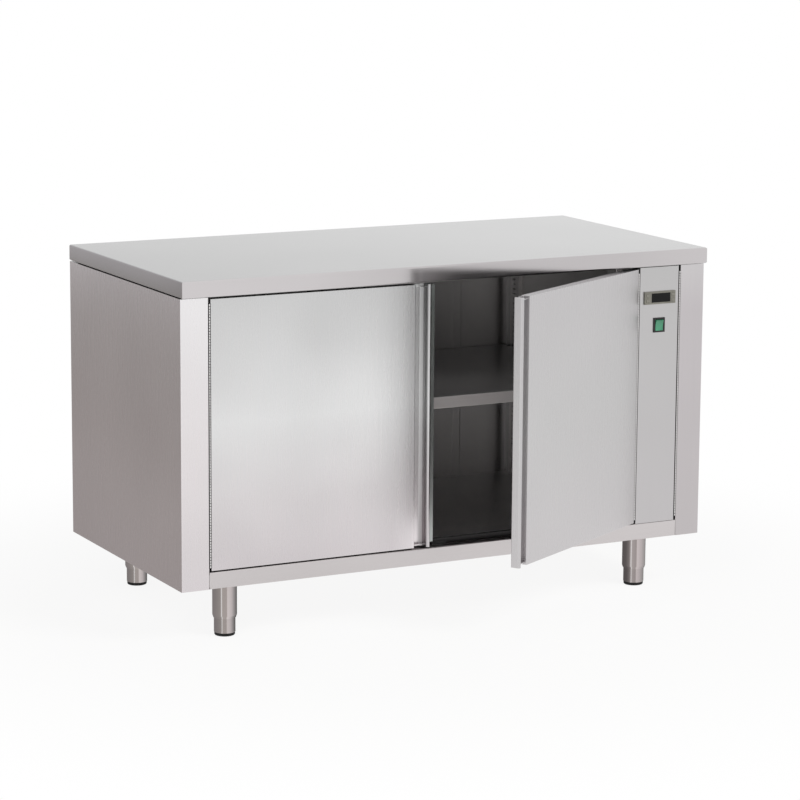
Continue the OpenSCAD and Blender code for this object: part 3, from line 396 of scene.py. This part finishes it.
# Blind rivets through the side panels' back flanges hold the back panel. Their domed heads
# are plain aluminium with the broken end of the mandrel in the middle.
def finish_piece(name, form, material, body, smooth=False):
    """Makes a piece of a form that is ready, in its material and on its body."""
    mesh = bpy.data.meshes.new(name)
    bmesh.ops.recalc_face_normals(form, faces=form.faces)
    form.to_mesh(mesh)
    form.free()
    mesh.materials.append(material)
    for face in mesh.polygons:
        face.use_smooth = smooth
    made = bpy.data.objects.new(name, mesh)
    bpy.context.collection.objects.link(made)
    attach(made, body)


def turned(name, outline, places, axis, material, body, sides=16):
    """Turned pieces of one kind: outline is (radius, height) in mm from the middle out, put at each
    place, given in mm, with its height along axis."""
    form = bmesh.new()
    stand_up = Vector((0, 0, 1)).rotation_difference(Vector(axis)).to_matrix()
    turns = [2 * math.pi * i / sides for i in range(sides)]
    for place in places:
        rings = []
        for radius, height in outline:
            ring = [(radius * math.cos(a), radius * math.sin(a), height) for a in turns]
            rings.append([form.verts.new(Vector(place) * MM + stand_up @ Vector(point) * MM)
                          for point in (ring if radius > 0 else ring[:1])])
        for inner, outer in zip(rings, rings[1:]):
            for i in range(sides):
                j = (i + 1) % sides
                corners = [inner[i % len(inner)], outer[i % len(outer)],
                           outer[j % len(outer)], inner[j % len(inner)]]
                form.faces.new(list(dict.fromkeys(corners)))
    finish_piece(name, form, material, body, smooth=True)


rivet_metal, tree, shader, place = new_finish("aluminium_blind_rivet")
scuff_size = 1.1111     # mm
scuffs = add(tree, "TexNoise", {"Vector": place, "Scale": 1 / (scuff_size * MM), "Detail": 3.0})
pale = add(tree, "ValToRGB", {0: scuffs.outputs["Fac"]}, stops=((0.3, "#B4B3B1"), (0.7, "#D4D3D1")))
tree.links.new(pale.outputs[0], shader.inputs["Base Color"])
rubbed = add(tree, "MapRange", {"Value": scuffs.outputs["Fac"], "To Min": 0.25, "To Max": 0.5})
tree.links.new(rubbed.outputs["Result"], shader.inputs["Roughness"])
shader.inputs["Metallic"].default_value = 1.0
rivet_dome = ((0, 0.55), (0.9, 0.55), (1.0, 0.95), (1.9, 0.8), (2.8, 0.35), (3.1, 0.0), (3.0, -0.3),
              (0, -0.3))
flange_x, back_flange_y = 689.0, 487.0
lowest_rivet, rivet_pitch, rivets_in_row = 172.0, 100.0, 7
rivet_rows = [(side * flange_x, back_flange_y, lowest_rivet + rivet_pitch * i)
              for side in (-1, 1) for i in range(rivets_in_row)]
turned("back_panel_rivets", rivet_dome, rivet_rows, (0, 1, 0), rivet_metal, "cabinet")


# The base sheet closes the cabinet from below and folds up at the front into the rail under
# the doors. Rail and stiles are welded, and the weld is ground and polished over.
base_steel = steel_sheet("stainless_sheet_ground_lengthways_base",
                         ((132, "#CBC6C6"), (172, "#CDC8C8")), grain_x, 0.3, streak=0.015, cloud=0.02)
dress(base_steel, "base_pan")
weld_left = steel_sheet("stainless_weld_polished_flush",
                        ((132, "#7E7876"), (135, "#7E7876"), (139, "#D0CBCB"), (166, "#D0CBCB"),
                         (169, "#8A8583"), (172, "#8A8583")),
                        grain_z, 0.35, streak=0.15, edge_tone_amount=0)
weld_right = steel_sheet("stainless_weld_polished",
                         ((132, "#6E6967"), (150, "#8C8786"), (172, "#A8A3A2")),
                         grain_z, 0.35, streak=0.15, edge_tone_amount=0)
rail_front_y = -200.9
weld_foot, weld_head, weld_half = 133.5, 171.5, 0.55
weld_steps = 28
ripple, ripple_turn = 0.06, 2.3
# across the bead: (place in half widths, mm that it stands proud of the rail)
bead_outline = ((-1, -0.3), (-1, 0.1), (-0.4, 0.3), (0.4, 0.3), (1, 0.1), (1, -0.3))


def weld_bead(name, x, material):
    """A thin line of weld between stile and rail, as a strip with a rounded, slightly rippled face."""
    form = bmesh.new()
    rows = []
    for i in range(weld_steps + 1):
        z = weld_foot + (weld_head - weld_foot) * i / weld_steps
        bulge = ripple * math.sin(i * ripple_turn)
        outline = [(x + side * weld_half, rail_front_y - proud - (bulge if proud > 0 else 0), z)
                   for side, proud in bead_outline]
        rows.append([form.verts.new(Vector(point) * MM) for point in outline])
    for low_row, high_row in zip(rows, rows[1:]):
        for i in range(len(low_row)):
            j = (i + 1) % len(low_row)
            form.faces.new((low_row[i], low_row[j], high_row[j], high_row[i]))
    form.faces.new(rows[0])
    form.faces.new(list(reversed(rows[-1])))
    finish_piece(name, form, material, "cabinet")


weld_bead("rail_weld_left", -630.25, weld_left)
weld_bead("rail_weld_right", 632.75, weld_right)


# The heated chamber is lined with thinner stainless sheet, dulled by heat. It lies in shade
# and mirrors mostly itself, so it shows dark.
chamber_steel = steel_sheet("stainless_liner_dulled_by_heat",
                            ((186, "#C4C3C3"), (480, "#C2C1C1"), (810, "#C8C7C7")), grain_z, 0.34,
                            streak=0.02, edge_tone="#D4D2D2", edge_tone_amount=0.4)
# painted shade: the front fold of the floor and of the ceiling is painted near black, and their edges
# are darkened, as the chamber's mouth lies in shadow above the rail
chamber_floor_steel = steel_sheet("stainless_liner_floor_heat_dulled_front_painted_shade",
                                  ((-172.4, "#3E3D3D"), (-170.5, "#454343"), (-169, "#CCCBCB"),
                                   (442, "#C6C5C5")),
                                  grain_x, 0.36, run="Y", streak=0.02, edge_tone="#5A5858", edge_tone_amount=0.2)
# the divider is given a neutral grey a little darker than the liner's
divider_steel = steel_sheet("stainless_divider_darker_grey",
                            ((186, "#B4B2B1"), (810, "#B8B6B5")), grain_z, 0.34,
                            streak=0.02, edge_tone="#C4C2C2", edge_tone_amount=0.4)
dress(chamber_steel, "liner_left", "liner_back")
dress(divider_steel, "divider_wall")
dress(chamber_floor_steel, "liner_floor", "liner_ceiling")


# The chamber's back wall is lined in two widths of sheet, and the right one lies over the left
# one's edge. The lap is a millimetre high and shows as one upright seam.
def folded_strip(name, outline, low, high, material, body):
    """A strip that stands upright: outline is its section in mm in X and Y, low and high its ends."""
    form = bmesh.new()
    ends = [[form.verts.new((x * MM, y * MM, z * MM)) for x, y in outline] for z in (low, high)]
    for i in range(len(outline)):
        j = (i + 1) % len(outline)
        form.faces.new((ends[0][i], ends[0][j], ends[1][j], ends[1][i]))
    for end in ends:
        form.faces.new(end)
    finish_piece(name, form, material, body)


lap_section = ((345.0, 440.6), (345.0, 439.6), (366.0, 439.6), (369.0, 440.3), (369.0, 440.6))
lap_foot, lap_head = 187.0, 808.5
folded_strip("back_wall_lap", lap_section, lap_foot, lap_head, chamber_steel,
             "cabinet")


# Mineral wool slabs fill the walls and the doors. The fibres are pressed into a mat of
# yellow-brown tufts.
wool, tree, shader, place = new_finish("pressed_mineral_wool")
tuft_size = (3.8462, 3.8462, 1.4286)    # mm, pressed flat
lay = add(tree, "Mapping", {"Vector": place, "Scale": [1 / (size * MM) for size in tuft_size]})
fibres = add(tree, "TexNoise", {"Vector": lay.outputs[0], "Scale": 1.0, "Detail": 6.0,
                                "Distortion": 1.5})
mat_tone = add(tree, "ValToRGB", {0: fibres.outputs["Fac"]}, stops=((0.3, "#8F8052"), (0.7, "#C9BB86")))
tree.links.new(mat_tone.outputs[0], shader.inputs["Base Color"])
shader.inputs["Roughness"].default_value = 0.95
tufts = add(tree, "Bump", {"Height": fibres.outputs["Fac"], "Strength": 0.8, "Distance": 2 * MM})
tree.links.new(tufts.outputs[0], shader.inputs["Normal"])
dress(wool, "wall_insulation", "door_left_core", "door_right_core")


# Slotted uprights are riveted to the chamber walls, clips lie in their slots, and the lift-out shelf
# rests on the clips. The shelf's top face is painted dark, as painted shade inside the chamber, and the
# edges of its front fold are lighter, by wear from plates and a painted highlight.
upright_steel = steel_sheet("stainless_slotted_upright", ((186, "#C2BFBE"), (810, "#CAC7C6")),
                            grain_z, 0.34, edge_tone="#E6E3E2", edge_tone_amount=0.7, metal=0.7)
shelf_steel = steel_sheet("stainless_shelf_folded",
                          ((499, "#DAD5D4"), (526, "#DAD5D4"), (527.3, "#8A8888"), (528, "#8A8888")),
                          grain_x, 0.3, streak=0.03, edge_tone="#E6E2E1", edge_tone_amount=0.5, metal=0.35)
dress(upright_steel, "shelf_uprights", "shelf_clips")
dress(shelf_steel, "shelf")
liner_dome = ((0, 0.9), (1.2, 0.85), (2.2, 0.5), (2.5, 0.0), (2.4, -0.3), (0, -0.3))
upright_ys, rivet_heights = (-100.4, 384.4), (192.5, 803.5)
for label, facing, upright_face_x in (("left", 1, -632.95), ("right", -1, 495.65)):
    heads = [(upright_face_x, y, z) for y in upright_ys for z in rivet_heights]
    turned("upright_rivets_" + label, liner_dome, heads, (facing, 0, 0), rivet_metal,
           "cabinet")


# Two ceramic magnets stand on the rail behind the doors' lower corners. Ferrite is a dull
# black-grey with a fine speckle.
ferrite, tree, shader, place = new_finish("sintered_ferrite")
speck_size = 0.66667    # mm
specks = add(tree, "TexNoise", {"Vector": place, "Scale": 1 / (speck_size * MM), "Detail": 2.0})
black = add(tree, "ValToRGB", {0: specks.outputs["Fac"]}, stops=((0.35, "#1B1B1C"), (0.7, "#3A3A3B")))
tree.links.new(black.outputs[0], shader.inputs["Base Color"])
shader.inputs["Roughness"].default_value = 0.6
dress(ferrite, "magnetic_catches")


# Piano hinges run the whole height of both doors and of the service panel: two leaves with rolled
# knuckles on one pin, in bright stainless strip, with the seams between the knuckles and the strip
# beside the pin painted dark, as painted shade of the gaps.
knuckle_pitch, first_knuckle = 6.35, 181.5
seam_share = 0.22
root_from, root_to = 1.3, 1.7
# the marks left by drawing the strip through rolls, again drawn ten times as coarse
drawn_size = (0.11111 * coarser, 0.11111 * coarser, 2.5 * coarser)
for label, axis_x, moving_leaf in (("left", -627.75, "door_leaf"), ("right", 513.25, "door_leaf"),
                                   ("panel", 630.25, "leaf")):
    hinge_steel, tree, shader, place = new_finish("stainless_rolled_hinge_strip_" + label)
    apart = add(tree, "SeparateXYZ", {0: place})
    lay = add(tree, "Mapping", {"Vector": place, "Scale": [1 / (size * MM) for size in drawn_size]})
    drawn = add(tree, "TexNoise", {"Vector": lay.outputs[0], "Scale": 1.0, "Detail": 3.0})
    strip_tone = add(tree, "Mix", {"Factor": drawn.outputs["Fac"], 6: linear("#B9B6B5"),
                                   7: linear("#FFFEFD")}, data_type="RGBA")
    # painted shade: the seams between the knuckles and the strip more than about 1.5 mm to either side
    # of the pin are darkened, as the gaps there lie in shadow
    off_axis = add(tree, "Math", {0: apart.outputs["X"], 1: axis_x * MM}, operation="SUBTRACT")
    off_axis = add(tree, "Math", {0: off_axis.outputs[0]}, operation="ABSOLUTE")
    root = add(tree, "MapRange", {"Value": off_axis.outputs[0], "From Min": root_from * MM,
                                  "From Max": root_to * MM})
    step = add(tree, "Math", {0: apart.outputs["Z"], 1: first_knuckle * MM}, operation="SUBTRACT")
    step = add(tree, "Math", {0: step.outputs[0], 1: 1 / (knuckle_pitch * MM)}, operation="MULTIPLY")
    step = add(tree, "Math", {0: step.outputs[0]}, operation="FRACT")
    seam = add(tree, "Math", {0: step.outputs[0], 1: 0.0, 2: seam_share}, operation="COMPARE")
    gap_shade = add(tree, "Math", {0: root.outputs["Result"], 1: seam.outputs[0]}, operation="MAXIMUM")
    toned = add(tree, "Mix", {"Factor": gap_shade.outputs[0], 6: strip_tone.outputs[2],
                              7: linear("#2B2829")}, data_type="RGBA")
    tree.links.new(toned.outputs[2], shader.inputs["Base Color"])
    shader.inputs["Metallic"].default_value = 1.0
    shader.inputs["Roughness"].default_value = 0.3
    dress(hinge_steel, *["hinge_%s_%s" % (label, part) for part in ("frame_leaf", "pin", moving_leaf)])


# Each door is one folded sheet with its handle rolled into it: a coved finger channel and a
# rounded lip, closed by small end plates. Handling leaves the ground face softly clouded.
# painted light: the left door's sheet is painted lightest at mid-height and lighter than the right
# door's, and across the handle it is painted darker and lighter in narrow bands, as painted reflections
# in the finger channel and a painted highlight on the lip
left_door_steel = steel_sheet("stainless_door_sheet_ground_left",
                              ((176, "#D1CBCD"), (330, "#D6D2D3"), (520, "#E1E1E1"), (690, "#D1D1D1"),
                               (808, "#C8C8C8")),
                              grain_z, 0.28, streak=0.006, cloud=0.06,
                              across=((-625, 1.0), (-160, 1.04), (-108, 1.2), (-103, 1.3), (-88, 1.32),
                                      (-86, 1.3), (-83, 1.15), (-79.5, 0.68), (-77, 0.6), (-75, 0.52),
                                      (-73.5, 0.52), (-70.5, 0.85), (-69, 0.82), (-67.5, 0.7),
                                      (-65.5, 1.05), (-59, 1.1)))
# painted shade: the right door's sheet is painted darker than the left door's, as the open door is
# turned from the light
right_door_steel = steel_sheet("stainless_door_sheet_ground_right",
                               ((176, "#C7C4C5"), (500, "#C5C4C4"), (808, "#C3C1C2")), grain_z, 0.28,
                               streak=0.005, cloud=0.015)
dress(left_door_steel, "door_left_skin")
# painted shade: the closing strip is painted darker towards the top, in the gap between the doors
strip_steel = steel_sheet("stainless_closing_strip", ((180, "#B9BDBB"), (803, "#9A9F9D")),
                          grain_z, 0.34, streak=0.03)
dress(strip_steel, "door_left_closing_strip")
dress(right_door_steel, "door_right_skin")
# painted highlight: the lining is painted up to half again as light around 20 mm along X, at the free
# edge of the right door as it stands open
pan_steel = steel_sheet("stainless_door_lining_ground", ((176, "#A5A2A2"), (808, "#A9A7A7")),
                        grain_z, 0.34, streak=0.03, across=((-610, 1.0), (20, 1.5), (110, 1.0)))
dress(pan_steel, "door_left_inner_pan", "door_right_inner_pan")


# The service panel is a shallow folded tray of ground sheet on its own piano hinge. It carries
# the controls and swings open for work on the heater behind it.
panel_steel = steel_sheet("stainless_panel_sheet_ground", ((172, "#C2BFC0"), (811, "#C0BFBF")),
                          grain_z, 0.3, streak=0.01, cloud=0.02)
dress(panel_steel, "service_panel")


# The digital thermostat sits in a cut-out of the panel: a grey moulded bezel, a smoked window
# and four small keys. Moulded ABS has a fine spark-eroded grain.
drift_size = 33.333     # mm, of the slow change of shade


def moulded(name, low, high, rough, grain_size, depth, specular=0.5):
    """Moulded plastic, rubber or paint: two close shades, and a fine grain with its size and depth
    in mm."""
    made, tree, shader, place = new_finish(name)
    grains = add(tree, "TexNoise", {"Vector": place, "Scale": 1 / (grain_size * MM), "Detail": 3.0})
    drift = add(tree, "TexNoise", {"Vector": place, "Scale": 1 / (drift_size * MM), "Detail": 1.0})
    tone = add(tree, "ValToRGB", {0: drift.outputs["Fac"]}, stops=((0.3, low), (0.7, high)))
    tree.links.new(tone.outputs[0], shader.inputs["Base Color"])
    spread = add(tree, "MapRange", {"Value": grains.outputs["Fac"], "To Min": rough - 0.08,
                                    "To Max": rough + 0.08})
    tree.links.new(spread.outputs["Result"], shader.inputs["Roughness"])
    skin = add(tree, "Bump", {"Height": grains.outputs["Fac"], "Strength": 0.35,
                              "Distance": depth * MM})
    tree.links.new(skin.outputs[0], shader.inputs["Normal"])
    shader.inputs["Specular IOR Level"].default_value = specular
    return made


dress(moulded("abs_grey_grained", "#74726A", "#7E7C73", 0.5, 0.6, 0.04), "thermostat_body")
dress(moulded("acrylic_smoked_window", "#080808", "#101010", 0.12, 2.0, 0.003, 0.2),
      "thermostat_window")
dress(moulded("abs_key_light_grey", "#7D7B73", "#87857C", 0.45, 0.5, 0.03),
      *["thermostat_key_%d" % i for i in (1, 2, 3, 4)])


# The rocker switch snaps into the panel: a black nylon frame round a green see-through rocker,
# whose lamp is off.
dress(moulded("nylon_black_frame", "#0E0E0F", "#181819", 0.42, 0.6, 0.04), "switch_body")
dress(moulded("polycarbonate_green_rocker", "#3A8562", "#4F9E7B", 0.16, 1.5, 0.01, 0.6),
      "switch_rocker")


# The heating rod is a nickel alloy tube, bent to and fro in the heater box. Heat has blued and
# browned it in patches.
rod_alloy, tree, shader, place = new_finish("nickel_alloy_heat_tinted")
tint_size = 71.429      # mm
tint = add(tree, "TexNoise", {"Vector": place, "Scale": 1 / (tint_size * MM), "Detail": 3.0})
heat = add(tree, "ValToRGB", {0: tint.outputs["Fac"]},
           stops=((0.25, "#4A4A52"), (0.45, "#5E5348"), (0.6, "#4F525F"), (0.8, "#6F675C")))
tree.links.new(heat.outputs[0], shader.inputs["Base Color"])
shader.inputs["Metallic"].default_value = 0.95
shader.inputs["Roughness"].default_value = 0.5
dress(rod_alloy, "heating_element")


# The fan's motor is painted grey, and its squirrel-cage wheel is pressed from aluminium sheet
# that keeps its mill finish.
dress(moulded("stoved_grey_motor_paint", "#3E4144", "#4A4D50", 0.45, 1.2, 0.05), "fan_motor")
wheel_sheet = steel_sheet("aluminium_mill_finish", ((339, "#C3C4C5"), (484, "#CCCDCE")), grain_x, 0.34,
                          edge_tone="#E2E2E2")
dress(wheel_sheet, "fan_wheel")


# The overheat cut-out is black phenolic, the terminal block ivory nylon and the gland dark
# grey nylon.
dress(moulded("phenolic_black_cover", "#1A1614", "#241F1C", 0.38, 1.5, 0.02), "safety_thermostat")
dress(moulded("nylon_ivory_block", "#DCD6C0", "#E6E0CC", 0.5, 0.7, 0.03), "terminal_block")
dress(moulded("nylon_dark_grey_gland", "#4B4D4F", "#56585A", 0.42, 0.6, 0.04), "cable_gland")


# Four legs: a polished tube sleeve on a plate under the base, and a turned foot that screws in
# and out of it to level the cabinet, on a black rubber cap. Polished tube mirrors in narrow bands.
leg_steel = steel_sheet("stainless_tube_polished", ((43, "#D0CBCA"), (132, "#CCC7C6")), grain_z, 0.12,
                        streak=0.03, edge_tone="#E4E1E0", edge_tone_amount=0.3)
# the lathe's marks run round the foot, and are again drawn ten times as coarse
grain_turned = (2.5 * coarser, 2.5 * coarser, 0.14286 * coarser)
foot_steel = steel_sheet("stainless_foot_turned", ((8, "#C8C3C2"), (121, "#C6C1C0")),
                         grain_turned, 0.16, streak=0.03, edge_tone="#E4E1E0", edge_tone_amount=0.3)
cap_rubber = moulded("rubber_black_cap", "#131313", "#1E1E1E", 0.7, 0.8, 0.05, 0.35)
for corner in ("front_left", "front_right", "back_left", "back_right"):
    dress(leg_steel, "leg_sleeve_" + corner)
    dress(foot_steel, "foot_" + corner)
    dress(cap_rubber, "foot_cap_" + corner)
